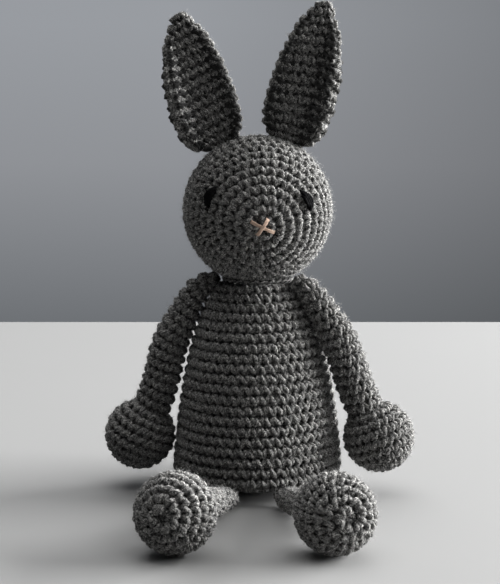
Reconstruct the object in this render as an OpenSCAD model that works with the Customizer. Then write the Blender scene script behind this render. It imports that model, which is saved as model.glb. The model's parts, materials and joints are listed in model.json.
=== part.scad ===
// Sitting crocheted bunny. Front faces -Y, +Z is up, and the origin is the middle of the base's
// resting patch on the surface that the toy sits on. Millimetres.
// Every limb is a hollow crocheted cover over its own stuffing, and it hangs on a knot of sewing
// yarn at its root, which is the point that the limb turns about.

/* [Body] */
// Largest radius of the body, near its base
body_r = 40; // [34:0.5:50]
// Height at which the body's side would close over, inside the neck
body_h = 103.5; // [85:0.5:125]
// Radius of the flat patch that the base rests on
rest_r = 14; // [8:0.5:20]
// Height of the base's rim above the surface
rim_h = 9.8; // [7.5:0.1:14]
// Radius of the rounded rim
rim_round = 3; // [2.5:0.1:5]

/* [Head] */
// Radius of the head
head_r = 34.5; // [29:0.5:42]
// Radius of the ring along which the head sits on the body
neck_r = 16; // [13:0.5:20]
// How far the face looks down, degrees
face_drop = 8; // [0:1:20]
// How far the face is turned to +X, degrees
face_turn = 3.4; // [-15:0.2:15]

/* [Arms] */
// Drop from shoulder to the middle of the hand
arm_drop = 69.5; // [55:0.5:76]
// Radius of the arm where it is sewn on
shoulder_r = 4.3; // [3.6:0.1:5.5]
// Radius of the arm's tube half way down
arm_r = 8.4; // [6:0.1:10]
// Radius of the hand
hand_r = 16.6; // [13:0.1:21]
// Depth of the shoulder below the top of the body
shoulder_drop = 9.5; // [8:0.5:14]
// How far round to the front the right arm is sewn, degrees
right_arm_round = 28; // [0:1:30]
// How far the right arm hangs back from straight down, degrees
right_arm_back = 13; // [0:1:20]

/* [Legs] */
// Length from the hip to the middle of the foot
leg_len = 63; // [45:0.5:80]
// Radius of the leg where it is sewn on
hip_r = 4.5; // [3.8:0.1:5.5]
// Radius of the leg's tube
leg_r = 7; // [5:0.1:9]
// Radius of the foot
foot_r = 17; // [13:0.1:21]
// How far the left leg points out from straight ahead, degrees
left_leg_turn = 18.6; // [12:0.2:35]
// How far the right leg points out from straight ahead, degrees
right_leg_turn = 17; // [12:0.2:35]

/* [Ears] */
// Length of an ear
ear_len = 62.5; // [45:0.5:80]
// Width of an ear at its widest
ear_w = 30; // [22:0.5:31]
// Depth of an ear from front to back
ear_t = 7; // [5.5:0.1:8]
// How deep the hollow in an ear's front is
ear_hollow = 3; // [1:0.1:3.5]
// Distance of the left ear's root from the middle of the head
left_ear_out = 18.6; // [17.5:0.1:22]
// Distance of the right ear's root from the middle of the head
right_ear_out = 14.8; // [14:0.1:22]
// How far the ears lean outwards, degrees
ear_lean = 15.5; // [10:0.5:30]

/* [Stitches] */
// Radius of the pale yarn of the nose
nose_yarn_r = 0.8; // [0.5:0.05:1]
// Length of the lower stroke of the nose, between its round ends
nose_under_stroke = 9.7; // [7:0.1:13]
// Length of the upper stroke of the nose, between its round ends
nose_over_stroke = 7.5; // [6:0.1:13]
// Radius of the black yarn of the eyes
eye_yarn_r = 0.7; // [0.5:0.05:0.9]
// Length of the longest stitch of an eye
eye_stroke = 8.5; // [6:0.5:12]
// Angle between the nose and the left eye, degrees
left_eye_apart = 47; // [30:1:55]
// Angle between the nose and the right eye, degrees
right_eye_apart = 40.5; // [30:0.5:55]
// How far each eye is above the nose, degrees round it
eye_rise = 27; // [0:1:45]
// Radius of the yarn that sews the head on
seam_yarn_r = 1.3; // [0.9:0.05:1.4]
// Radius of the knot at the root of each limb
knot_r = 1.2; // [0.8:0.05:1.25]

/* [Fabric and clearances] */
// Thickness of the crocheted fabric
wall = 2.6; // [1.8:0.1:2.8]
// Gap between a cover and its stuffing
fill_gap = 0.2; // [0.1:0.05:0.4]
// Gap between the head and what it sits on
seam_gap = 0.4; // [0.3:0.05:0.8]
// Gap between an arm and the body
arm_gap = 1; // [0.9:0.1:2]
// Gap between a leg and the body
leg_gap = 0.6; // [0.4:0.1:1.5]
// Gap round a knot
knot_gap = 0.3; // [0.3:0.05:0.4]

/* [Hidden] */
$fn = 48;

LEFT = -1;
RIGHT = 1;
yarn_grey = [0.28, 0.28, 0.285];
fill_white = [0.93, 0.93, 0.91];
eye_black = [0.02, 0.02, 0.022];
nose_peach = [0.8, 0.68, 0.6];

// Side of the body: its radius at a height, and how fast that radius falls
side_bow = 1.5;
side_round = 3;
half_mm = 0.5;
function body_out(z) = body_r * pow(1 - pow(min(z, body_h) / body_h, side_bow), 1 / side_round);
function body_fall(z) = body_out(z - half_mm) - body_out(z + half_mm);
// Height at which the side has a radius
function body_up(r) = body_h * pow(1 - pow(r / body_r, side_round), 1 / side_bow);
// How far out the middle of a ball sits so that it stays a gap off the body's side
function beside(z, r, gap) = body_out(z) + (r + gap) * sqrt(1 + pow(body_fall(z), 2));

// The head sits in the top of the body along the neck ring
head_z = body_up(neck_r) + sqrt(pow(head_r + seam_gap, 2) - pow(neck_r, 2));

// The neck's seam touches neither the head nor the body: it lies as far into the groove between
// them as its yarn goes
seam_reach = head_r + seam_gap + seam_yarn_r;
function seam_up(r) = head_z - sqrt(pow(seam_reach, 2) - pow(r, 2));
function seam_clear(r) =
    (r - body_out(seam_up(r))) / sqrt(1 + pow(body_fall(seam_up(r)), 2));
seam_step = 0.1;
seam_rings = [for (r = [neck_r : seam_step : head_r])
    if (seam_clear(r) > seam_yarn_r + seam_gap) r];
seam_ring_r = seam_rings[0];
seam_ring_z = seam_up(seam_ring_r);

// Arms: heights of the balls along the arm, from shoulder to hand, and their radii
shoulder_z = body_h - shoulder_drop;
arm_shares = [0, 0.18, 0.38, 0.68, 1];
arm_z = [for (share = arm_shares) shoulder_z - share * arm_drop];
// How much wider than its tube an arm is just above the hand
arm_swell = 1;
arm_balls = [shoulder_r, (shoulder_r + arm_r) / 2, arm_r, arm_r + arm_swell, hand_r];
arm_x = [for (i = [0 : len(arm_z) - 1]) beside(arm_z[i], arm_balls[i], arm_gap)];
arm_path = [for (i = [0 : len(arm_z) - 1]) [arm_x[i] - arm_x[0], 0, arm_z[i] - shoulder_z]];
shoulder_out = arm_x[0];

// Legs: the hip tucks in front of the rounded rim, and the foot rests on the surface
hip_lift = 0.5;
hip_z = hip_r + hip_lift;
rim_in = body_out(rim_h) - rim_round;
rim_reach = rim_round + hip_r + leg_gap;
hip_out = rim_in + sqrt(pow(rim_reach, 2) - pow(rim_h - hip_z, 2));
leg_rise = foot_r - hip_z;
leg_run = sqrt(pow(leg_len, 2) - pow(leg_rise, 2));
leg_shares = [0, 0.42, 0.62, 1];
leg_swell = 1.5;
leg_balls = [hip_r, leg_r, leg_r + leg_swell, foot_r];
leg_path = [for (s = leg_shares) [s * leg_run, 0, s * leg_rise]];

// Ears: the root is a ball that just clears the head, and the leaf starts a little below its middle
ear_root_r = 6.5;
leaf_low = 4;
function ear_up(out) = sqrt(pow(head_r + ear_root_r + seam_gap, 2) - pow(out, 2));
// Half width of the leaf at a share of its length: widest below its middle, with blunt ends
leaf_low_down = 0.62;
leaf_blunt = 0.6;
function leaf(u) = ear_w / 2 * pow(sin(180 * pow(u, leaf_low_down)), leaf_blunt);
leaf_steps = 22;

// A cone between two balls, a little thinner than they are
rod_share = 0.96;
module rod(a, b, ra, rb) {
    run = b - a;
    translate(a)
        rotate([0, atan2(run[0], run[2]), 0])
            cylinder(h = norm(run), r1 = ra * rod_share, r2 = rb * rod_share);
}

// Balls along a path in the XZ plane, joined by cones, all inset by the same depth
module chain(path, balls, inset) {
    for (i = [0 : len(path) - 1])
        translate(path[i]) sphere(r = balls[i] - inset);
    for (i = [0 : len(path) - 2])
        rod(path[i], path[i + 1], balls[i] - inset, balls[i + 1] - inset);
}

// Half section of the body, inset by a depth along its own surface
function side_point(z, inset) =
    let (n = sqrt(1 + pow(body_fall(z), 2)))
    [max(0, body_out(z) - inset / n), z - inset * body_fall(z) / n];
side_steps = 22;
// The side stops a little short of where it would close over
crown = 0.6;
top_z = body_h - crown;
function side_points(inset) = [for (i = [0 : side_steps])
    side_point(rim_h + (top_z - rim_h) * sin(90 * i / side_steps), inset)];
rim_steps = 5;
rim_turn = 72;
// An inset rim keeps a small round of its own
rim_inset_share = 0.9;
function rim_points(inset) = [for (i = [0 : rim_steps - 1])
    let (a = -rim_turn + rim_turn * i / rim_steps, r = rim_round - rim_inset_share * inset)
    [rim_in + r * cos(a), rim_h + r * sin(a)]];
module body_form(inset) {
    rotate_extrude()
        polygon(concat([[0, inset], [rest_r, inset]], rim_points(inset), side_points(inset),
            [[0, top_z - inset]]));
}

// Places: arm and leg frames have +X running out from the body and the root at their origin
module arm_place(side) {
    if (side == LEFT)
        mirror([1, 0, 0]) translate([shoulder_out, 0, shoulder_z]) children();
    else
        rotate([0, 0, -right_arm_round])
            translate([shoulder_out, 0, shoulder_z])
                rotate([right_arm_back, 0, 0]) children();
}
module leg_place(side) {
    turn = side == LEFT ? left_leg_turn : right_leg_turn;
    rotate([0, 0, -90 + side * turn]) translate([hip_out, 0, hip_z]) children();
}
module ear_place(side) {
    out = side == LEFT ? left_ear_out : right_ear_out;
    translate([side * out, 0, head_z + ear_up(out)]) rotate([0, side * ear_lean, 0]) children();
}
// The face frame: +X runs out of the head through the nose
module face_place() {
    translate([0, 0, head_z]) rotate([0, face_drop, -90 + face_turn]) children();
}

module knot() {
    sphere(r = knot_r);
}
module knot_space() {
    sphere(r = knot_r + knot_gap);
}

module head_shell() {
    color(yarn_grey) translate([0, 0, head_z])
        difference() {
            sphere(r = head_r);
            sphere(r = head_r - wall);
        }
}

module head_stuffing() {
    color(fill_white) translate([0, 0, head_z]) sphere(r = head_r - wall - fill_gap);
}

// Black stitches side by side, each along a circle round the nose
eye_stitch_gap = 0.15;
eye_pitch = 2 * eye_yarn_r + eye_stitch_gap;
stitch_lift = 0.1;
module eye(side, apart) {
    out = head_r + eye_yarn_r + stitch_lift;
    balls = [eye_yarn_r, eye_yarn_r];
    color(eye_black) face_place() rotate([side * eye_rise, 0, 0])
        for (i = [-1 : 1]) {
            half = eye_stroke / 2 - abs(i);
            rotate([0, 0, side * apart + i * eye_pitch / out * 180 / PI])
                chain([[out, 0, -half], [out, 0, half]], balls, 0);
        }
}
module left_eye() {
    eye(LEFT, left_eye_apart);
}
module right_eye() {
    eye(RIGHT, right_eye_apart);
}

// Strokes of the nose: the upper one bows over the lower one
nose_angle_under = -26;
nose_angle_over = 57;
nose_out = head_r + nose_yarn_r + stitch_lift;
nose_under_bow = 0.01;
nose_over_rise = 0.4;
nose_over_bow = 2 * nose_yarn_r + nose_over_rise;
module nose_stitch(angle, stroke, bow) {
    half = stroke / 2;
    color(nose_peach) face_place() rotate([angle - 90, 0, 0])
        chain([[nose_out, 0, -half], [nose_out + bow, 0, 0], [nose_out, 0, half]],
            [nose_yarn_r, nose_yarn_r, nose_yarn_r], 0);
}
module nose_under() {
    nose_stitch(nose_angle_under, nose_under_stroke, nose_under_bow);
}
module nose_over() {
    nose_stitch(nose_angle_over, nose_over_stroke, nose_over_bow);
}

module neck_seam() {
    color(yarn_grey) translate([0, 0, seam_ring_z])
        rotate_extrude() translate([seam_ring_r, 0]) circle(r = seam_yarn_r, $fn = 24);
}

module body_shell() {
    color(yarn_grey) difference() {
        body_form(0);
        body_form(wall);
        translate([0, 0, head_z]) sphere(r = head_r + seam_gap);
    }
}

module body_stuffing() {
    color(fill_white) difference() {
        body_form(wall + fill_gap);
        translate([0, 0, head_z]) sphere(r = head_r + seam_gap + fill_gap);
    }
}

module limb_shell(path, balls) {
    color(yarn_grey) difference() {
        chain(path, balls, 0);
        chain(path, balls, wall);
    }
}

// Stuffing starts past the root, and leaves the knot its space
module limb_stuffing(path, balls) {
    rest = [for (i = [1 : len(path) - 1]) path[i]];
    rest_balls = [for (i = [1 : len(path) - 1]) balls[i]];
    color(fill_white) difference() {
        chain(rest, rest_balls, wall + fill_gap);
        knot_space();
    }
}

module left_arm_shell() {
    arm_place(LEFT) limb_shell(arm_path, arm_balls);
}
module left_arm_stuffing() {
    arm_place(LEFT) limb_stuffing(arm_path, arm_balls);
}
module left_arm_knot() {
    color(yarn_grey) arm_place(LEFT) knot();
}
module right_arm_shell() {
    arm_place(RIGHT) limb_shell(arm_path, arm_balls);
}
module right_arm_stuffing() {
    arm_place(RIGHT) limb_stuffing(arm_path, arm_balls);
}
module right_arm_knot() {
    color(yarn_grey) arm_place(RIGHT) knot();
}

module left_leg_shell() {
    leg_place(LEFT) limb_shell(leg_path, leg_balls);
}
module left_leg_stuffing() {
    leg_place(LEFT) limb_stuffing(leg_path, leg_balls);
}
module left_leg_knot() {
    color(yarn_grey) leg_place(LEFT) knot();
}
module right_leg_shell() {
    leg_place(RIGHT) limb_shell(leg_path, leg_balls);
}
module right_leg_stuffing() {
    leg_place(RIGHT) limb_stuffing(leg_path, leg_balls);
}
module right_leg_knot() {
    color(yarn_grey) leg_place(RIGHT) knot();
}

// A flat leaf on a round root, hollowed along its front from a little above the root
trough_share = 0.75;
trough_start = 3;
module ear(side) {
    trough_r = trough_share * ear_w;
    color(yarn_grey) ear_place(side) difference() {
        union() {
            sphere(r = ear_root_r);
            rotate([90, 0, 0]) translate([0, -leaf_low, -ear_t / 2])
                linear_extrude(height = ear_t)
                    polygon([for (i = [0 : leaf_steps]) let (u = i / leaf_steps)
                        [leaf(u), u * (ear_len - ear_root_r + leaf_low)],
                        for (i = [1 : leaf_steps - 1]) let (u = 1 - i / leaf_steps)
                        [-leaf(u), u * (ear_len - ear_root_r + leaf_low)]]);
        }
        translate([0, -ear_t / 2 + ear_hollow - trough_r, ear_root_r + trough_start])
            cylinder(r = trough_r, h = ear_len);
        knot_space();
    }
}
module left_ear() {
    ear(LEFT);
}
module left_ear_knot() {
    color(yarn_grey) ear_place(LEFT) knot();
}
module right_ear() {
    ear(RIGHT);
}
module right_ear_knot() {
    color(yarn_grey) ear_place(RIGHT) knot();
}

head_shell();
head_stuffing();
left_eye();
right_eye();
nose_under();
nose_over();
neck_seam();
body_shell();
body_stuffing();
left_arm_shell();
left_arm_stuffing();
left_arm_knot();
right_arm_shell();
right_arm_stuffing();
right_arm_knot();
left_leg_shell();
left_leg_stuffing();
left_leg_knot();
right_leg_shell();
right_leg_stuffing();
right_leg_knot();
left_ear();
left_ear_knot();
right_ear();
right_ear_knot();
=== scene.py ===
"""A sitting bunny crocheted in grey yarn. Every stitch is a strand of plied yarn, laid in rounds over
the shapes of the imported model. Metres, in the model's frame: the front faces -Y and +Z is up."""

import json
from math import cos, pi, radians, sin, sqrt

import bpy
import numpy as np
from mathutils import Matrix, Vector


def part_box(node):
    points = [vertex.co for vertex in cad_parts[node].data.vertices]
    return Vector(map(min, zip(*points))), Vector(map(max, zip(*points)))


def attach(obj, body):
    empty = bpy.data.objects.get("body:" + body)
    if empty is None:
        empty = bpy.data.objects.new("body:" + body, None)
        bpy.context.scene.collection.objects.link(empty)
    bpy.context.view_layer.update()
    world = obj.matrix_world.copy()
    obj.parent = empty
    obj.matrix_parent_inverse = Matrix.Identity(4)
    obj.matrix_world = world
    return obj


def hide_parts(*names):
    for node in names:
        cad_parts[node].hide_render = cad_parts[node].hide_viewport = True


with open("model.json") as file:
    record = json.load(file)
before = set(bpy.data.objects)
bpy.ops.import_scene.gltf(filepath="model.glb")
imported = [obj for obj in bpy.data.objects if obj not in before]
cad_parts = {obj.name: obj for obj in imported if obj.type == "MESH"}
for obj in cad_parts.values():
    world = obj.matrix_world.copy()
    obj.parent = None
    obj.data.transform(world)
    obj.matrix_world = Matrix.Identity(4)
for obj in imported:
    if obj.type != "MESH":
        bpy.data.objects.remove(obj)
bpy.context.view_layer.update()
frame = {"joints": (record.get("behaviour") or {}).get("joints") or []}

MM = 0.001
SIDES = {"left": -1, "right": 1}

# ---------------------------------------------------------------- sizes

# The yarn and its stitches
STITCH_W = 4.5 * MM
ROUND_H = 4.7 * MM
YARN_R = 1.24 * MM
LOOP_R = 0.85 * MM
PLIES = 4
PLY_TURN = 7 * MM  # length of yarn in which its plies turn once
RING_STEP = 0.7 * MM  # from one ring of corners to the next along a yarn
PLY_RELIEF = 0.10  # depth of the grooves between plies, as a share of the yarn's radius
PLACE_UNIT = 10 * MM  # length of yarn that counts as one in its material
STITCH_DEPTH = 1.9 * MM  # from the cover's outer surface down to the middle of its fabric
FLOOR_GAP = 0.05 * MM  # yarn that rests on the surface is pressed flat this far above it
FEWEST = 6  # stitches in the ring that a cover starts from
START_H = 0.9 * MM  # height of its first stitch over the middle of that ring
LINING_T = 0.5 * MM  # thickness of the skin behind the stitches
LINING_RELIEF = 0.25 * MM

# Fibres that stand off the yarn
FUZZ_PER_STITCH = 18
FUZZ_LEN = (0.8 * MM, 3.0 * MM)
FUZZ_W = 0.045 * MM
FUZZ_CORNERS = 7  # two rings of three and a tip
FILL_DEPTH = 3.6 * MM  # from the cover's outer surface down to the filling

# Body
BODY_H = 103.5 * MM  # height at which its side would close over
BODY_REST_R = 14 * MM
RIM_H = 9.8 * MM
RIM_R = 3 * MM
NECK_R = 16 * MM
SIDE_BOW = 1.5
SIDE_ROUND = 3

# Arms, legs and ears: the model's shapes, with the sewn ends and the ears' curl that it leaves out
ARM_SHARES = (0, 0.18, 0.38, 0.68, 1)
ARM_RADII = (5.6 * MM, 7.2 * MM, 8.8 * MM, 9 * MM, 9 * MM)
ARM_GAPS = (0, 0.2 * MM, 0.9 * MM, 2 * MM, 0.5 * MM)
SHOULDER_TUCK = 9 * MM  # how far the flat end of an arm reaches in under the head
SHOULDER_RISE = 3.5 * MM
SHOULDER_END_R = 4.6 * MM
ARM_ROUND = {"left": 0, "right": radians(28)}
ARM_BACK = {"left": 0, "right": radians(13)}
HIP_TUCK = 5 * MM  # how far a leg reaches in under the body's rim
LEG_SHARES = (0, 0.42, 0.62, 1)
LEG_RADII = (4.5 * MM, 7 * MM, 8 * MM, 8 * MM)
EAR_LEAN = radians(15.5)
EAR_LEN = 64.5 * MM
EAR_RISE = {"left": 0, "right": 3.2 * MM}  # how much longer than that each ear is
EAR_HALF_W = 15 * MM
EAR_HALF_T = 3 * MM
EAR_CUP = 7.5 * MM
EAR_SHIFT = {"left": 3 * MM, "right": 0.5 * MM}  # further out than its root


# ---------------------------------------------------------------- geometry


def unit(v):
    """Vectors of length one."""
    return v / np.maximum(np.linalg.norm(v, axis=-1, keepdims=True), 1e-12)


def smooth_line(points, steps):
    """A smooth line through points, with steps samples from each point to the next."""
    p = np.asarray(points, float)
    p = np.vstack([2 * p[0] - p[1], p, 2 * p[-1] - p[-2]])
    t = (np.arange(steps) / steps)[:, None]
    a, b, c, d = (p[i : len(p) - 3 + i, None, :] for i in range(4))
    line = 0.5 * (2 * b + (c - a) * t + (2 * a - 5 * b + 4 * c - d) * t**2 + (3 * b - a - 3 * c + d) * t**3)
    return np.vstack([line.reshape(-1, p.shape[1]), p[-2]])


def carried_frames(p, guide):
    """Unit tangents of a line, and two directions across it that don't turn about it."""
    t = unit(np.gradient(p, axis=0))
    u = unit(guide - (guide * t).sum(1, keepdims=True) * t)
    v = np.cross(t[:-1], t[1:])
    c = (t[:-1] * t[1:]).sum(1, keepdims=True)
    carried = u[:-1] * c + np.cross(v, u[:-1]) + v * (v * u[:-1]).sum(1, keepdims=True) / (1 + c + 1e-9)
    turn = np.arctan2((np.cross(carried, u[1:]) * t[1:]).sum(1), (carried * u[1:]).sum(1))
    phase = -np.concatenate([[0], np.cumsum(turn)])[:, None]
    w = np.cross(t, u)
    return t, u * np.cos(phase) + w * np.sin(phase), w * np.cos(phase) - u * np.sin(phase)


def even(p, guide, lift, step):
    """A line, its guide and its lift again, with its points an even step apart."""
    along = np.concatenate([[0], np.cumsum(np.linalg.norm(np.diff(p, axis=0), axis=1))])
    at = np.linspace(0, along[-1], max(4, int(along[-1] / step)))
    spread = [np.stack([np.interp(at, along, line[:, i]) for i in range(3)], -1) for line in (p, guide)]
    return spread[0], unit(spread[1]), np.interp(at, along, lift)


def strand(p, guide, radius, around=10, plies=PLIES, ply_turn=PLY_TURN, lift=0.0):
    """A strand of plied yarn along a line: its corners, faces, and each corner's place on the yarn
    and height over the skin of its cover."""
    t, u, w = carried_frames(p, guide)
    along = np.concatenate([[0], np.cumsum(np.linalg.norm(np.diff(p, axis=0), axis=1))])
    own = np.arange(around) / around * 2 * pi
    turned = own[None, :] + along[:, None] / ply_turn * 2 * pi
    lobes = 1 - PLY_RELIEF + PLY_RELIEF * np.cos(plies * own)
    r = np.broadcast_to(radius, (len(p),))[:, None] * lobes[None, :]
    ring = p[:, None, :] + r[..., None] * (
        u[:, None, :] * np.cos(turned)[..., None] + w[:, None, :] * np.sin(turned)[..., None]
    )
    n = len(p)
    corners = ring.reshape(-1, 3)
    lifts = ((ring - p[:, None, :]) * guide[:, None, :]).sum(-1) + np.broadcast_to(lift, (n,))[:, None]
    lifts = lifts.ravel()
    i = np.arange(n - 1)[:, None]
    j = np.arange(around)[None, :]
    k = (j + 1) % around
    up = i + 1
    quads = np.stack([i * around + j, i * around + k, up * around + k, up * around + j], -1).reshape(-1, 4)
    place = np.stack(
        [
            np.broadcast_to(np.cos(own), (n, around)),
            np.broadcast_to(np.sin(own), (n, around)),
            np.broadcast_to(along[:, None] / PLACE_UNIT, (n, around)),
        ],
        -1,
    ).reshape(-1, 3)
    first, last = len(corners), len(corners) + 1
    corners = np.vstack([corners, p[0], p[-1]])
    place = np.vstack([place, [[0, 0, 0], [0, 0, along[-1] / PLACE_UNIT]]])
    lifts = np.append(lifts, lifts[[0, -1]])
    ring_j, ring_k = j[0], k[0]
    base = (n - 1) * around
    tris = np.vstack(
        [
            np.stack([np.full(around, first), ring_k, ring_j], -1),
            np.stack([np.full(around, last), base + ring_j, base + ring_k], -1),
        ]
    )
    return {"corners": corners, "quads": quads, "tris": tris, "place": place, "lifts": lifts}


def grid(points):
    """A closed skin over a grid of rings of points, with a fan over its first and last ring."""
    n, m = points.shape[:2]
    i = np.arange(n - 1)[:, None]
    j = np.arange(m)[None, :]
    k = (j + 1) % m
    quads = np.stack([i * m + j, i * m + k, (i + 1) * m + k, (i + 1) * m + j], -1).reshape(-1, 4)
    ring = np.arange(m)
    after = (ring + 1) % m
    first, last = n * m, n * m + 1
    top = (n - 1) * m
    corners = np.vstack([points.reshape(-1, 3), points[0].mean(0), points[-1].mean(0)])
    tris = np.vstack(
        [
            np.stack([np.full(m, first), after, ring], -1),
            np.stack([np.full(m, last), top + ring, top + after], -1),
        ]
    )
    return {"corners": corners, "quads": quads, "tris": tris, "place": corners / PLACE_UNIT}


def build(name, parts, material, body, replaces=()):
    """One object from meshed parts, riding on a body."""
    corners = np.vstack([part["corners"] for part in parts])
    corners[:, 2] = np.maximum(corners[:, 2], FLOOR_GAP)
    place = np.vstack([part["place"] for part in parts])
    starts = np.cumsum([0] + [len(part["corners"]) for part in parts[:-1]])
    quads = np.vstack([part["quads"] + start for part, start in zip(parts, starts)])
    tris = np.vstack([part["tris"] + start for part, start in zip(parts, starts)])
    mesh = bpy.data.meshes.new(name)
    mesh.vertices.add(len(corners))
    mesh.vertices.foreach_set("co", corners.astype(np.float32).ravel())
    mesh.loops.add(quads.size + tris.size)
    mesh.loops.foreach_set("vertex_index", np.concatenate([quads.ravel(), tris.ravel()]).astype(np.int32))
    mesh.polygons.add(len(quads) + len(tris))
    loop_starts = np.concatenate([np.arange(len(quads)) * 4, quads.size + np.arange(len(tris)) * 3])
    mesh.polygons.foreach_set("loop_start", loop_starts.astype(np.int32))
    mesh.update(calc_edges=True)
    mesh.validate()
    mesh.shade_smooth()
    yarn = mesh.attributes.new("yarn", "FLOAT_VECTOR", "POINT")
    yarn.data.foreach_set("vector", place.astype(np.float32).ravel())
    lifts = np.concatenate([part.get("lifts", np.zeros(len(part["corners"]))) for part in parts])
    lift = mesh.attributes.new("lift", "FLOAT", "POINT")
    lift.data.foreach_set("value", (lifts / MM).astype(np.float32))
    mesh.materials.append(material)
    piece = bpy.data.objects.new(name, mesh)
    bpy.context.scene.collection.objects.link(piece)
    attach(piece, body)
    if replaces:
        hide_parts(*replaces)
    return piece


class Cover:
    """A crocheted skin: a profile from its starting ring to its far end, placed in space."""

    def __init__(self, along, out, place):
        step = np.hypot(np.diff(along), np.diff(out))
        self.heights = np.concatenate([[0], np.cumsum(step)])
        self.along, self.out, self.place = along, out, place
        self.length = self.heights[-1]
        probe = np.linspace(0, self.length, 80)
        angles = np.linspace(0, 2 * pi, 61)
        rings = self.surface(np.repeat(probe, 61), np.tile(angles, 80)).reshape(80, 61, 3)
        self.probe = probe
        self.girth = np.linalg.norm(np.diff(rings, axis=1), axis=2).sum(1)
        self.outward = 1
        outer = rings[40] - rings[40].mean(0)
        lean = (self.normal(np.full(61, probe[40]), angles) * outer).sum()
        self.outward = np.sign(lean)

    def surface(self, height, angle):
        along = np.interp(height, self.heights, self.along)
        out = np.interp(height, self.heights, self.out)
        return self.place(along, out, angle)

    def normal(self, height, angle):
        small = 0.25 * MM
        low = np.clip(height - small, 0, self.length)
        high = np.clip(height + small, 0, self.length)
        up = self.surface(high, angle) - self.surface(low, angle)
        aside = self.surface(height, angle + 0.01) - self.surface(height, angle - 0.01)
        return unit(np.cross(aside, up)) * self.outward

    def at(self, height, angle, lift):
        """A point at a height and angle, lifted off the skin along its normal."""
        height = np.clip(height, 0.3 * MM, self.length)
        return self.surface(height, angle) + lift[:, None] * self.normal(height, angle)

    def round_at(self, height):
        return np.interp(height, self.probe, self.girth)


def spiral(cover):
    """Angle and height of each stitch of a cover, worked in one spiral from its starting ring."""
    angles, heights = [0.0], [START_H]
    while heights[-1] < cover.length - 0.6 * ROUND_H:
        count = max(FEWEST, cover.round_at(heights[-1] + ROUND_H / 2) / STITCH_W)
        angles.append(angles[-1] + 2 * pi / count)
        heights.append(heights[-1] + ROUND_H / count)
    return np.array(angles), np.array(heights)


# The front of one stitch, as shares of its width and height and as depth in yarn radii: down the
# long left leg, through the fabric, up the right leg, and over to the next stitch.
LEGS = np.array(
    [
        (-0.50, 0.86, -1.60),
        (-0.40, 0.70, -0.05),
        (-0.20, 0.49, 0.55),
        (0.00, 0.27, 0.10),
        (0.08, 0.08, -1.60),
        (0.20, 0.12, -1.60),
        (0.25, 0.40, -0.05),
        (0.28, 0.62, 0.25),
        (0.34, 0.86, -1.50),
    ]
)
# The loop that lies along the top of a round, half under the next one
LOOP = np.array([(-0.35, 0.96, -1.9), (0.0, 1.03, -1.6), (0.35, 0.96, -1.85)])
LINE_STEPS = 3  # samples from each point of a pattern to the next
UNEVENNESS = 0.04  # how far a point strays, as a share of its stitch


def stitch_line(cover, angles, heights, pattern, rng):
    """The line of one yarn through a pattern that every stitch repeats."""
    count = len(angles)
    shift = rng.normal(0, UNEVENNESS, (count, len(pattern), 3)) * (1, 1, 1.6)
    local = pattern[None] + shift
    at = (np.arange(count)[:, None] + local[..., 0]).ravel()
    knots = np.stack([at, local[..., 1].ravel(), local[..., 2].ravel()], -1)
    knots = smooth_line(knots, LINE_STEPS)
    index = np.arange(count)
    x = np.clip(knots[:, 0], 0, count - 1)
    angle = np.interp(x, index, angles)
    height = np.interp(x, index, heights) + knots[:, 1] * ROUND_H
    lift = knots[:, 2] * YARN_R - STITCH_DEPTH + 0.35 * YARN_R
    guide = cover.normal(np.clip(height, 0, cover.length), angle)
    return cover.at(height, angle, lift), guide, lift


def lining(cover, rows=70, columns=72):
    """The inner side of the fabric: the backs of the stitches, as a low relief in rounds."""
    heights = np.linspace(0.4 * MM, cover.length, rows)
    angles = np.arange(columns) / columns * 2 * pi
    h, a = np.meshgrid(heights, angles, indexing="ij")
    relief = LINING_RELIEF * np.cos(h / ROUND_H * 2 * pi) * np.cos(a * 12)
    depth = -STITCH_DEPTH - 0.7 * YARN_R + relief.ravel()
    outer = cover.at(h.ravel(), a.ravel(), depth).reshape(rows, columns, 3)
    inner = cover.at(h.ravel(), a.ravel(), depth - LINING_T).reshape(rows, columns, 3)
    return grid(np.concatenate([outer, inner[::-1]]))


def fuzz(line, guide, rng, count, radius):
    """Loose fibres that stand off a strand, each a thin spindle with three sides."""
    pick = rng.integers(2, len(line) - 2, count)
    tangent = unit(line[pick + 1] - line[pick - 1])
    away = unit(guide[pick] + rng.normal(0, 0.45, (count, 3)))
    away = unit(away - 0.6 * (away * tangent).sum(1, keepdims=True) * tangent)
    side = unit(np.cross(away, rng.normal(0, 1, (count, 3))))
    length = rng.uniform(*FUZZ_LEN, count)[:, None]
    root = line[pick] + away * radius * 0.8
    middle = root + away * length * 0.5 + side * length * rng.uniform(-0.1, 0.3, (count, 1))
    tip = root + away * length * rng.uniform(0.6, 0.95, (count, 1)) + side * length * 0.55
    across = unit(np.cross(side, away))
    rings = []
    for centre, width in ((root, FUZZ_W), (middle, FUZZ_W * 0.8)):
        for k in range(3):
            a = k * 2 * pi / 3
            rings.append(centre + width * (across * cos(a) + np.cross(away, across) * sin(a)))
    corners = np.stack(rings + [tip], 1)
    base = (np.arange(count) * FUZZ_CORNERS)[:, None]
    quads = np.array([(0, 1, 4, 3), (1, 2, 5, 4), (2, 0, 3, 5)])
    tris = np.array([(3, 4, 6), (4, 5, 6), (5, 3, 6), (0, 2, 1)])
    return {
        "corners": corners.reshape(-1, 3),
        "quads": (base[..., None] + quads[None]).reshape(-1, 4),
        "tris": (base[..., None] + tris[None]).reshape(-1, 3),
        "place": np.repeat(rng.uniform(0, 9, (count, 3)), FUZZ_CORNERS, 0),
    }


# ---------------------------------------------------------------- materials


def node_material(name):
    material = bpy.data.materials.new(name)
    material.use_nodes = True
    tree = material.node_tree
    return material, tree, tree.nodes["Principled BSDF"]


def link(tree, a, b):
    tree.links.new(a, b)


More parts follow.
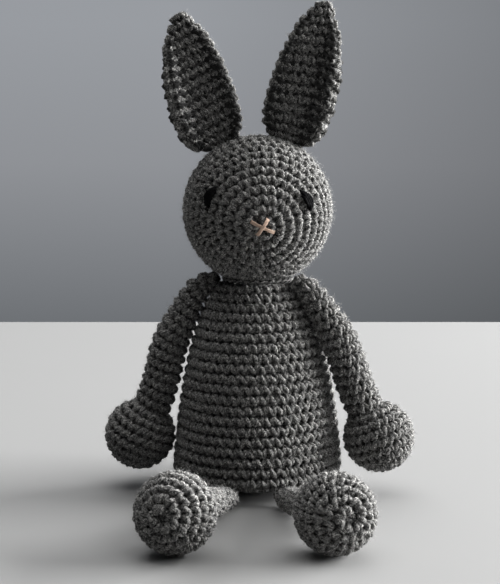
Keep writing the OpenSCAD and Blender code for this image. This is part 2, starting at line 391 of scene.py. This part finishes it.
def add_node(tree, kind, **values):
    node = tree.nodes.new(kind)
    for key, value in values.items():
        setattr(node, key, value)
    return node


def set_inputs(node, **values):
    for key, value in values.items():
        node.inputs[key.replace("_", " ")].default_value = value


def ramp(tree, stops):
    node = add_node(tree, "ShaderNodeValToRGB")
    elements = node.color_ramp.elements
    while len(elements) < len(stops):
        elements.new(0.5)
    for element, (place, colour) in zip(elements, stops):
        element.position = place
        element.color = (*colour, 1)
    return node


def yarn_material(name, stops, roughness=0.85, sheen=0.10, specular=0.12, deep=None):
    """Plied yarn: streaks of fibre that follow the plies, blended colours, and a soft sheen. Where
    it lies deep in the fabric its colour is darkened: painted shade for the grooves between stitches."""
    material, tree, shader = node_material(name)
    place = add_node(tree, "ShaderNodeAttribute", attribute_name="yarn")
    stretch = add_node(tree, "ShaderNodeVectorMath", operation="MULTIPLY")
    stretch.inputs[1].default_value = (3, 3, 6)
    link(tree, place.outputs["Vector"], stretch.inputs[0])
    fibres = add_node(tree, "ShaderNodeTexNoise")
    set_inputs(fibres, Scale=2.2, Detail=5, Roughness=0.7)
    link(tree, stretch.outputs[0], fibres.inputs["Vector"])
    coords = add_node(tree, "ShaderNodeTexCoord")
    flecks = add_node(tree, "ShaderNodeTexNoise")
    set_inputs(flecks, Scale=1500, Detail=3, Roughness=0.7)
    link(tree, coords.outputs["Object"], flecks.inputs["Vector"])
    blend = add_node(tree, "ShaderNodeMix", data_type="FLOAT")
    blend.inputs["Factor"].default_value = 0.36
    link(tree, fibres.outputs["Fac"], blend.inputs["A"])
    link(tree, flecks.outputs["Fac"], blend.inputs["B"])
    colours = ramp(tree, stops)
    link(tree, blend.outputs["Result"], colours.inputs["Fac"])
    # Painted shade: the colour is dimmed by how deep the yarn lies under the fabric's surface
    if deep:
        height = add_node(tree, "ShaderNodeAttribute", attribute_name="lift")
        shade = add_node(tree, "ShaderNodeMapRange", interpolation_type="SMOOTHSTEP")
        set_inputs(shade, From_Min=deep[0], From_Max=deep[1], To_Min=deep[2], To_Max=1)
        link(tree, height.outputs["Fac"], shade.inputs["Value"])
        dim = add_node(tree, "ShaderNodeVectorMath", operation="SCALE")
        link(tree, colours.outputs["Color"], dim.inputs[0])
        link(tree, shade.outputs["Result"], dim.inputs["Scale"])
        link(tree, dim.outputs[0], shader.inputs["Base Color"])
    else:
        link(tree, colours.outputs["Color"], shader.inputs["Base Color"])
    bump = add_node(tree, "ShaderNodeBump")
    set_inputs(bump, Strength=0.5, Distance=0.4 * MM)
    link(tree, blend.outputs["Result"], bump.inputs["Height"])
    link(tree, bump.outputs["Normal"], shader.inputs["Normal"])
    set_inputs(shader, Roughness=roughness, Specular_IOR_Level=specular)
    set_inputs(shader, Sheen_Weight=sheen, Sheen_Roughness=0.5)
    return material


def fill_material():
    """White polyester filling: soft clumps of fibre."""
    material, tree, shader = node_material("filling")
    coords = add_node(tree, "ShaderNodeTexCoord")
    clumps = add_node(tree, "ShaderNodeTexNoise")
    set_inputs(clumps, Scale=180, Detail=6, Roughness=0.7, Distortion=0.6)
    link(tree, coords.outputs["Object"], clumps.inputs["Vector"])
    colours = ramp(tree, [(0.3, (0.62, 0.61, 0.57)), (0.7, (0.86, 0.85, 0.82))])
    link(tree, clumps.outputs["Fac"], colours.inputs["Fac"])
    link(tree, colours.outputs["Color"], shader.inputs["Base Color"])
    bump = add_node(tree, "ShaderNodeBump")
    set_inputs(bump, Strength=0.6, Distance=1 * MM)
    link(tree, clumps.outputs["Fac"], bump.inputs["Height"])
    link(tree, bump.outputs["Normal"], shader.inputs["Normal"])
    set_inputs(shader, Roughness=0.95, Sheen_Weight=0.3)
    return material


def plain_material(name, colour, roughness):
    """A matt stage surface with a trace of unevenness."""
    material, tree, shader = node_material(name)
    coords = add_node(tree, "ShaderNodeTexCoord")
    noise = add_node(tree, "ShaderNodeTexNoise")
    set_inputs(noise, Scale=3, Detail=2)
    link(tree, coords.outputs["Object"], noise.inputs["Vector"])
    darker = tuple(0.97 * c for c in colour)
    colours = ramp(tree, [(0.3, darker), (0.7, colour)])
    link(tree, noise.outputs["Fac"], colours.inputs["Fac"])
    link(tree, colours.outputs["Color"], shader.inputs["Base Color"])
    set_inputs(shader, Roughness=roughness, Specular_IOR_Level=0.3)
    return material


def backdrop_material():
    """A plain grey wall that glows by itself, with painted shade that darkens it towards the table and to
    one side.
    """
    material, tree, shader = node_material("backdrop")
    coords = add_node(tree, "ShaderNodeTexCoord")
    split = add_node(tree, "ShaderNodeSeparateXYZ")
    link(tree, coords.outputs["Object"], split.inputs[0])
    height = add_node(tree, "ShaderNodeMapRange")
    set_inputs(height, From_Min=-0.55, From_Max=0.35, To_Min=0, To_Max=1)
    link(tree, split.outputs["Z"], height.inputs["Value"])
    side = add_node(tree, "ShaderNodeMapRange")
    set_inputs(side, From_Min=-0.2, From_Max=0.8, To_Min=1, To_Max=0.6)
    link(tree, split.outputs["X"], side.inputs["Value"])
    colours = ramp(tree, [(0, (0.11, 0.12, 0.13)), (0.6, (0.26, 0.27, 0.29)), (1, (0.30, 0.315, 0.34))])
    link(tree, height.outputs["Result"], colours.inputs["Fac"])
    # Painted shade: the wall's glow falls off lower down and towards +X
    dim = add_node(tree, "ShaderNodeVectorMath", operation="SCALE")
    link(tree, colours.outputs["Color"], dim.inputs[0])
    link(tree, side.outputs["Result"], dim.inputs["Scale"])
    link(tree, dim.outputs[0], shader.inputs["Emission Color"])
    set_inputs(shader, Base_Color=(0, 0, 0, 1), Emission_Strength=1, Roughness=1)
    return material


GREY_STOPS = [
    (0.40, (0.008, 0.008, 0.009)),
    (0.48, (0.050, 0.050, 0.050)),
    (0.535, (0.190, 0.188, 0.181)),
    (0.60, (0.560, 0.550, 0.525)),
]
PAINTED_GROOVE_SHADE = (-3.0, -0.9, 0.10)  # painted shade in the grooves: lifts between which the yarn's colour brightens, mm, and its share when deep
grey_yarn = yarn_material("grey_yarn", GREY_STOPS, deep=PAINTED_GROOVE_SHADE)
grey_fibre = yarn_material("grey_fibre", [(0.3, (0.18, 0.18, 0.18)), (0.7, (0.60, 0.59, 0.57))], sheen=0.1)
black_yarn = yarn_material(
    "black_yarn", [(0.3, (0.001, 0.001, 0.001)), (0.7, (0.006, 0.006, 0.007))], sheen=0, specular=0.05
)
peach_yarn = yarn_material(
    "peach_yarn", [(0.3, (0.40, 0.27, 0.20)), (0.7, (0.68, 0.51, 0.41))], roughness=0.5, sheen=0.1
)
filling = fill_material()


# ---------------------------------------------------------------- places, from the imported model


def centre_of(node):
    low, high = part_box(node)
    return np.array((low + high) / 2)


def pivot_of(name):
    return np.array(next(j["pos_m"] for j in frame["joints"] if j["name"] == name))


head_low, head_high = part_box("head_shell")
HEAD_R = (head_high.x - head_low.x) / 2
HEAD_AT = centre_of("head_shell")
body_low, body_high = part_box("body_shell")
BODY_R = (body_high.x - body_low.x) / 2 / (1 - (RIM_H / BODY_H) ** SIDE_BOW) ** (1 / SIDE_ROUND)
NOSE_WAY = unit(centre_of("nose_over") - HEAD_AT)


def side_out(z):
    """Radius of the body's side at a height."""
    return BODY_R * (1 - (np.minimum(z, 0.999 * BODY_H) / BODY_H) ** SIDE_BOW) ** (1 / SIDE_ROUND)


def beside(z, r, gap):
    """How far out the middle of a round limb lies, a gap off the body's side."""
    fall = (side_out(z - 0.5 * MM) - side_out(z + 0.5 * MM)) / MM
    return side_out(z) + (r + gap) * sqrt(1 + fall**2)


# ---------------------------------------------------------------- covers


def straight_place(origin, axis, across):
    """Places a round profile about a straight axis."""
    axis = unit(np.asarray(axis, float))
    across = unit(across - axis * np.dot(across, axis))
    other = np.cross(axis, across)

    def place(along, out, angle):
        ring = across * np.cos(angle)[:, None] + other * np.sin(angle)[:, None]
        return origin + axis * along[:, None] + ring * out[:, None]

    return place


def bent_place(points, across):
    """Places a round profile about a smooth line through points, straight on past both its ends."""
    line = smooth_line(points, 24)
    reach = np.concatenate([[0], np.cumsum(np.linalg.norm(np.diff(line, axis=0), axis=1))])
    tangent = unit(np.gradient(line, axis=0))

    def place(along, out, angle):
        held = np.clip(along, 0, reach[-1])
        middle = np.stack([np.interp(held, reach, line[:, i]) for i in range(3)], -1)
        t = unit(np.stack([np.interp(held, reach, tangent[:, i]) for i in range(3)], -1))
        middle = middle + t * (along - held)[:, None]
        u = unit(across - t * (t @ across)[:, None])
        ring = u * np.cos(angle)[:, None] + np.cross(t, u) * np.sin(angle)[:, None]
        return middle + ring * out[:, None]

    return place, reach[-1]


def head_cover():
    """A ball in rounds about the nose."""
    turn = np.linspace(0, pi, 121)
    place = straight_place(HEAD_AT, -NOSE_WAY, np.array((0.0, 0.0, 1.0)))
    return Cover(-HEAD_R * np.cos(turn), HEAD_R * np.sin(turn), place)


def body_cover():
    """A flat-bottomed bell, from the middle of its base up to the neck."""
    flat = np.linspace(0, BODY_REST_R, 8)
    rim_in = side_out(RIM_H) - RIM_R
    turn = np.radians(np.linspace(-72, 0, 10))
    neck_z = BODY_H * (1 - (NECK_R / BODY_R) ** SIDE_ROUND) ** (1 / SIDE_BOW)
    rise = RIM_H + (neck_z - RIM_H) * np.sin(np.linspace(0.02, pi / 2, 90))
    along = np.concatenate([0 * flat, RIM_H + RIM_R * np.sin(turn), rise])
    out = np.concatenate([flat, rim_in + RIM_R * np.cos(turn), side_out(rise)])
    place = straight_place(np.zeros(3), (0, 0, 1), np.array((0.0, 1.0, 0.0)))
    return Cover(along, out, place)


def limb_profile(length, shares, radii, ball_r):
    """Profile of a limb from the tip of its ball, measured along the limb from its root."""
    turn = np.linspace(0, pi * 0.62, 50)
    ball_along = length + ball_r * np.cos(turn)
    ball_out = ball_r * np.sin(turn)
    along = np.concatenate([ball_along, np.linspace(ball_along[-1], 0, 60)[1:]])
    tube = np.interp(along, np.array(shares) * length, radii)
    gap = np.clip(ball_r**2 - (along - length) ** 2, 0, None)
    ball = np.sqrt(gap)
    ball[:50] = ball_out
    soft = 2.5 * MM
    near = np.clip(0.5 + 0.5 * (ball - tube) / soft, 0, 1)
    joined = tube + (ball - tube) * near + soft * near * (1 - near) * 0.5
    out = np.where(along > length - 0.25 * ball_r, ball, joined)
    return along, out


def limb_cover(points, shares, radii, ball_r, across):
    place, length = bent_place(points, across)
    along, out = limb_profile(length, shares, radii, ball_r)
    return Cover(along, out, place)


def arm_points(side):
    """Middle line of an arm, from the shoulder down beside the body to the hand."""
    root = pivot_of(f"{side}_arm_swing")
    low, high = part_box("left_arm_shell")
    hand_r = (high.y - low.y) / 2
    low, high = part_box(f"{side}_arm_shell")
    drop = root[2] - (low.z + hand_r)
    if side == "right":
        drop /= cos(ARM_BACK[side])
    radii = (*ARM_RADII[:-1], hand_r)
    fits = zip(ARM_SHARES, radii, ARM_GAPS)
    out = np.array([beside(root[2] - share * drop, r, gap) for share, r, gap in fits])
    turn, back = -ARM_ROUND[side], ARM_BACK[side]
    points = []
    for x, share in zip(out - out[0], ARM_SHARES):
        down = share * drop
        y, z = down * sin(back), -down * cos(back)
        x *= SIDES[side]
        points.append(root + np.array((x * cos(turn) - y * sin(turn), x * sin(turn) + y * cos(turn), z)))
    tuck = SHOULDER_TUCK * unit(root * (1, 1, 0))
    points.insert(0, root - tuck + np.array((0, 0, SHOULDER_RISE)))
    return points, hand_r


def leg_points(side):
    """Middle line of a leg, from the hip out to the foot."""
    root = pivot_of(f"{side}_leg_lift")
    low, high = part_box(f"{side}_leg_shell")
    foot_r = (high.z - low.z) / 2
    way = unit(root * (1, 1, 0))
    foot_out = -low.y - foot_r
    run = (foot_out + root[1]) / -way[1]
    foot = root + way * run + np.array((0, 0, low.z + foot_r - root[2]))
    tuck = unit(root - foot) * HIP_TUCK
    return [root + tuck] + [root + (foot - root) * share for share in (0, 0.3, 0.6, 1)], foot_r


def ear_width(u):
    """Half width of an ear at a share of its length, from its tip."""
    knots = (0, 0.04, 0.2, 0.44, 0.68, 0.85, 0.93, 1)
    widths = (0, 0.3, 0.70, 0.93, 1, 0.98, 0.86, 0.60)
    return EAR_HALF_W * np.interp(u, knots, widths)


def ear_cover(side):
    """A flattened tube, cupped towards the front, that leans out from the head."""
    root = pivot_of(f"{side}_ear_bend")
    low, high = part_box(f"{side}_ear")
    lean = SIDES[side] * EAR_LEAN
    up = np.array((sin(lean), 0, cos(lean)))
    wide = np.array((cos(lean), 0, -sin(lean)))
    front = np.array((0.0, -1.0, 0.0))
    length = EAR_LEN + EAR_RISE[side]
    tip = (high.z - root[2]) / cos(lean) + EAR_RISE[side]
    base = tip - length

    # Samples crowd towards the tip, where the outline turns fastest
    u = np.linspace(0, 1, 160)
    half = np.interp(u**2, u, ear_width(u))
    along = tip - length * u**2
    kernel = np.hanning(15) / np.hanning(15).sum()
    half[8:-8] = np.convolve(half, kernel, "same")[8:-8]

    # Stitches are as wide at the ear's rims as they are across its flat sides
    turn = np.linspace(0, 2 * pi, 721)
    flat = np.stack([np.cos(turn), 0.22 * np.sin(turn)], -1)
    arc = np.concatenate([[0], np.cumsum(np.linalg.norm(np.diff(flat, axis=0), axis=1))])
    arc *= 2 * pi / arc[-1]

    def place(at, out, angle):
        t = np.interp(np.mod(angle, 2 * pi), arc, turn)
        x = out * np.cos(t)
        y = EAR_HALF_T * out / (out + 1.2 * MM) * np.sin(t)
        share = np.clip((at - base) / length, 0, 1)
        outer = SIDES[side] * x / EAR_HALF_W
        fade = np.sin(pi * np.clip(share * 0.9 + 0.1, 0, 1)) ** 0.5
        cup = EAR_CUP * (outer**2) * (1 + 0.5 * outer) * fade
        slant = 0.14 * SIDES[side] * x * (1 - share) ** 3
        return (
            root
            + up * (at - slant)[:, None]
            + wide * (x + SIDES[side] * EAR_SHIFT[side] * (0.4 + 0.6 * share))[:, None]
            + front * (cup - 1.5 * MM + y)[:, None]
        )

    return Cover(along, half, place)


# ---------------------------------------------------------------- pieces


def crochet(name, cover, body, replaces, seed, parts=1):
    """Works a cover in rounds of stitches, in some parts from its start to its end, with its fuzz."""
    rng = np.random.default_rng(seed)
    angles, heights = spiral(cover)
    legs = stitch_line(cover, angles, heights, LEGS, rng)
    loops = stitch_line(cover, angles, heights, LOOP, rng)
    edges = np.linspace(0, len(angles), parts + 1).astype(int)
    for index, (first, last) in enumerate(zip(edges[:-1], edges[1:])):
        leg_part = slice(first * len(LEGS) * LINE_STEPS, last * len(LEGS) * LINE_STEPS + 1)
        loop_part = slice(first * len(LOOP) * LINE_STEPS, last * len(LOOP) * LINE_STEPS + 1)
        leg_line, leg_guide, leg_lift = even(*(values[leg_part] for values in legs), RING_STEP)
        loop_line, loop_guide, loop_lift = even(*(values[loop_part] for values in loops), RING_STEP)
        meshes = [
            strand(leg_line, leg_guide, YARN_R, lift=leg_lift),
            strand(loop_line, loop_guide, LOOP_R, around=6, plies=2, lift=loop_lift),
        ]
        if index == 0:
            meshes.append(lining(cover))
        label = name if parts == 1 else f"{name}_{index + 1}"
        build(label, meshes, grey_yarn, body, replaces)
        hairs = fuzz(leg_line, leg_guide, rng, FUZZ_PER_STITCH * (last - first), YARN_R)
        build(f"{label}_fuzz", [hairs], grey_fibre, body)


def stuff(name, cover, body, node, seed):
    """Loose filling that takes the shape of the cover round it."""
    rng = np.random.default_rng(seed)
    rows, columns = 40, 48
    heights = np.linspace(0.5 * MM, cover.length * 0.985, rows)
    angles = np.arange(columns) / columns * 2 * pi
    h, a = np.meshgrid(heights, angles, indexing="ij")
    lumps = sum(
        0.3 * MM * np.sin(h / MM * rng.uniform(0.1, 0.6) + a * rng.integers(1, 7) + rng.uniform(0, 6))
        for _ in range(6)
    )
    points = cover.at(h.ravel(), a.ravel(), (lumps - FILL_DEPTH).ravel()).reshape(rows, columns, 3)
    piece = build(name, [grid(points)], filling, body, [node])


def eye(side):
    """Four black stitches side by side, along a circle round the nose."""
    middle = unit(centre_of(f"{side}_eye") - HEAD_AT)
    across = unit(NOSE_WAY - middle * np.dot(NOSE_WAY, middle))
    along = np.cross(middle, across)
    if along[2] < 0:
        along = -along
    parts = []
    for i in (-1.5, -0.5, 0.5, 1.5):
        half = (5.2 - 1.1 * abs(i) ** 1.5) * MM
        turn = np.linspace(-1, 1, 13)
        shift = i * 1.02 * MM * (1 - 0.45 * turn**2)
        lift = 1.3 * MM * (1 - turn**4) - 1.3 * MM * turn**8
        way = HEAD_R * middle + along * (turn * half)[:, None] + across * shift[:, None]
        line = HEAD_AT + unit(way) * (HEAD_R + lift)[:, None]
        parts.append(strand(line, np.broadcast_to(middle, line.shape), 0.85 * MM))
    build(f"{side}_eye_stitches", parts, black_yarn, "head", [f"{side}_eye"])


def nose_stroke(name, node, angle, half, lift_mid):
    """One flat stroke of pale thread across the middle of the face: several threads side by side."""
    across = unit(np.cross((0, 0, 1), NOSE_WAY))
    upward = np.cross(NOSE_WAY, across)
    way = across * cos(angle) + upward * sin(angle)
    beside_way = np.cross(NOSE_WAY, way)
    middle = centre_of(node) - HEAD_AT
    middle = middle - NOSE_WAY * np.dot(middle, NOSE_WAY)
    turn = np.linspace(-1, 1, 15)
    parts = []
    for i in (-1, 0, 1):
        lift = lift_mid * (1 - turn**2) + 0.35 * MM * (1 - turn**6) - 1.6 * MM * turn**12
        spread = i * 0.46 * MM * (0.8 + 0.35 * turn**2)
        flat = NOSE_WAY * HEAD_R + middle + way * (turn * half)[:, None] + beside_way * spread[:, None]
        line = HEAD_AT + unit(flat) * (HEAD_R + lift)[:, None]
        guide = np.broadcast_to(NOSE_WAY, line.shape)
        parts.append(strand(line, guide, 0.42 * MM, around=8, plies=2, ply_turn=5 * MM))
    build(name, parts, peach_yarn, "head", [node])


def neck_seam():
    """Sewing yarn whipped round the neck, over and under, where the head meets the body."""
    low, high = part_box("neck_seam")
    ring_z = (low.z + high.z) / 2
    yarn_r = (high.z - low.z) / 2
    ring_r = (high.x - low.x) / 2 - yarn_r
    turns = 26
    t = np.linspace(0, 2 * pi, turns * 14 + 1)[:-1]
    wave = np.sin(turns * t)
    deep = np.cos(turns * t)
    r = ring_r - 3 * MM + 0.35 * MM * deep
    z = ring_z - 0.6 * MM + 0.5 * MM * wave
    lean = t + 0.05 * wave
    line = np.stack([r * np.cos(lean), r * np.sin(lean), z], -1)
    guide = np.stack([np.cos(t), np.sin(t), 0 * t], -1)
    # A lift of -2 mm darkens this yarn through the painted groove shade: painted shade for the crease at
    # the neck
    part = strand(line, guide, 0.6 * MM, lift=-2 * MM)
    build("neck_stitches", [part], grey_yarn, "neck", ["neck_seam"])


def knot(name, node, body):
    """An overhand knot in the sewing yarn."""
    middle = centre_of(node)
    low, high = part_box(node)
    size = (high.x - low.x) / 2
    t = np.linspace(0, 2 * pi, 61)[:-1]
    shape = np.stack([np.sin(t) + 2 * np.sin(2 * t), np.cos(t) - 2 * np.cos(2 * t), -np.sin(3 * t)], -1)
    line = middle + shape * size * 0.24
    guide = np.broadcast_to((0.0, 0.0, 1.0), line.shape)
    part = strand(line, guide, size * 0.25, around=6, plies=2, ply_turn=2 * MM)
    build(name, [part], grey_yarn, body, [node])


# ---------------------------------------------------------------- stage

LENS_MM = 84.8
CAMERA_AT = (-3.5 * MM, -632 * MM, 185 * MM)
CAMERA_DIP = 8.39  # degrees below level
TABLE_EDGE = 0.457  # distance behind the toy's middle at which the table ends


def camera():
    """Stands in front of the toy and a little above its head, looking slightly down."""
    data = bpy.data.cameras.new("camera")
    data.lens = LENS_MM
    data.sensor_width = 36
    data.clip_start = 0.01
    data.clip_end = 20
    viewer = bpy.data.objects.new("camera", data)
    viewer.location = CAMERA_AT
    viewer.rotation_euler = (radians(90 - CAMERA_DIP), 0, 0)
    bpy.context.scene.collection.objects.link(viewer)
    bpy.context.scene.camera = viewer


def quad(name, corners, material):
    mesh = bpy.data.meshes.new(name)
    mesh.from_pydata(corners, [], [tuple(range(len(corners)))])
    mesh.materials.append(material)
    piece = bpy.data.objects.new(name, mesh)
    bpy.context.scene.collection.objects.link(piece)


def stage():
    """A pale table top and a far, plain backdrop."""
    table = plain_material("table", (0.235, 0.235, 0.233), 0.6)
    backdrop = backdrop_material()
    quad("floor", [(-3, -3, 0), (3, -3, 0), (3, TABLE_EDGE, 0), (-3, TABLE_EDGE, 0)], table)
    quad("backdrop", [(-6, 3, -3), (6, 3, -3), (6, 3, 5), (-6, 3, 5)], backdrop)


def area_light(name, azimuth, elevation, distance, size, power):
    """A soft light, a width and a height in size, that looks at the toy. Azimuth 0 is in front, and
    90 is at +X."""
    data = bpy.data.lights.new(name, "AREA")
    data.shape = "RECTANGLE"
    data.size, data.size_y = size
    data.energy = power
    lamp = bpy.data.objects.new(name, data)
    a, e = radians(azimuth), radians(elevation)
    way = Vector((sin(a) * cos(e), -cos(a) * cos(e), sin(e)))
    lamp.location = Vector((0, 0, 0.1)) + way * distance
    lamp.rotation_euler = way.to_track_quat("Z", "Y").to_euler()
    bpy.context.scene.collection.objects.link(lamp)


def lights():
    area_light("key", 104, 17, 2.4, (2.2, 1.1), 302)
    area_light("side", 50, 35, 2.0, (1.4, 1.2), 5)
    area_light("top", 165, 75, 2.0, (2.8, 2.8), 72)
    world = bpy.data.worlds.new("world")
    world.use_nodes = True
    world.node_tree.nodes["Background"].inputs["Color"].default_value = (0.9, 0.95, 1, 1)
    world.node_tree.nodes["Background"].inputs["Strength"].default_value = 0.015
    bpy.context.scene.world = world
    bpy.context.scene.view_settings.view_transform = "Standard"


# ---------------------------------------------------------------- making

camera()
stage()
lights()

head = head_cover()
crochet("head_cover", head, "head", ["head_shell"], 11, parts=3)
stuff("head_filling", head, "head", "head_stuffing", 12)

torso = body_cover()
crochet("body_cover", torso, "torso", ["body_shell"], 21, parts=4)
stuff("body_filling", torso, "torso", "body_stuffing", 22)

for side, sign in SIDES.items():
    points, ball_r = arm_points(side)
    shares = np.concatenate([[0], 0.08 + 0.92 * np.array(ARM_SHARES)])
    arm = limb_cover(points, shares, (SHOULDER_END_R, *ARM_RADII), ball_r, np.array((0.0, -1.0, 0.0)))
    crochet(f"{side}_arm_cover", arm, f"{side}_arm", [f"{side}_arm_shell"], 31 + sign)
    stuff(f"{side}_arm_filling", arm, f"{side}_arm", f"{side}_arm_stuffing", 35 + sign)
    knot(f"{side}_arm_sewing", f"{side}_arm_knot", f"{side}_arm_root")

    points, ball_r = leg_points(side)
    leg = limb_cover(points, LEG_SHARES, LEG_RADII, ball_r, np.array((0.0, 0.0, 1.0)))
    crochet(f"{side}_leg_cover", leg, f"{side}_leg", [f"{side}_leg_shell"], 41 + sign)
    stuff(f"{side}_leg_filling", leg, f"{side}_leg", f"{side}_leg_stuffing", 45 + sign)
    knot(f"{side}_leg_sewing", f"{side}_leg_knot", f"{side}_leg_root")

    ear = ear_cover(side)
    crochet(f"{side}_ear_cover", ear, f"{side}_ear", [f"{side}_ear"], 51 + sign)
    knot(f"{side}_ear_sewing", f"{side}_ear_knot", f"{side}_ear_root")

    eye(side)

neck_seam()
nose_stroke("nose_lower_stroke", "nose_under", radians(-26), 6.4 * MM, 0.3 * MM)
nose_stroke("nose_upper_stroke", "nose_over", radians(57), 4.8 * MM, 1.2 * MM)
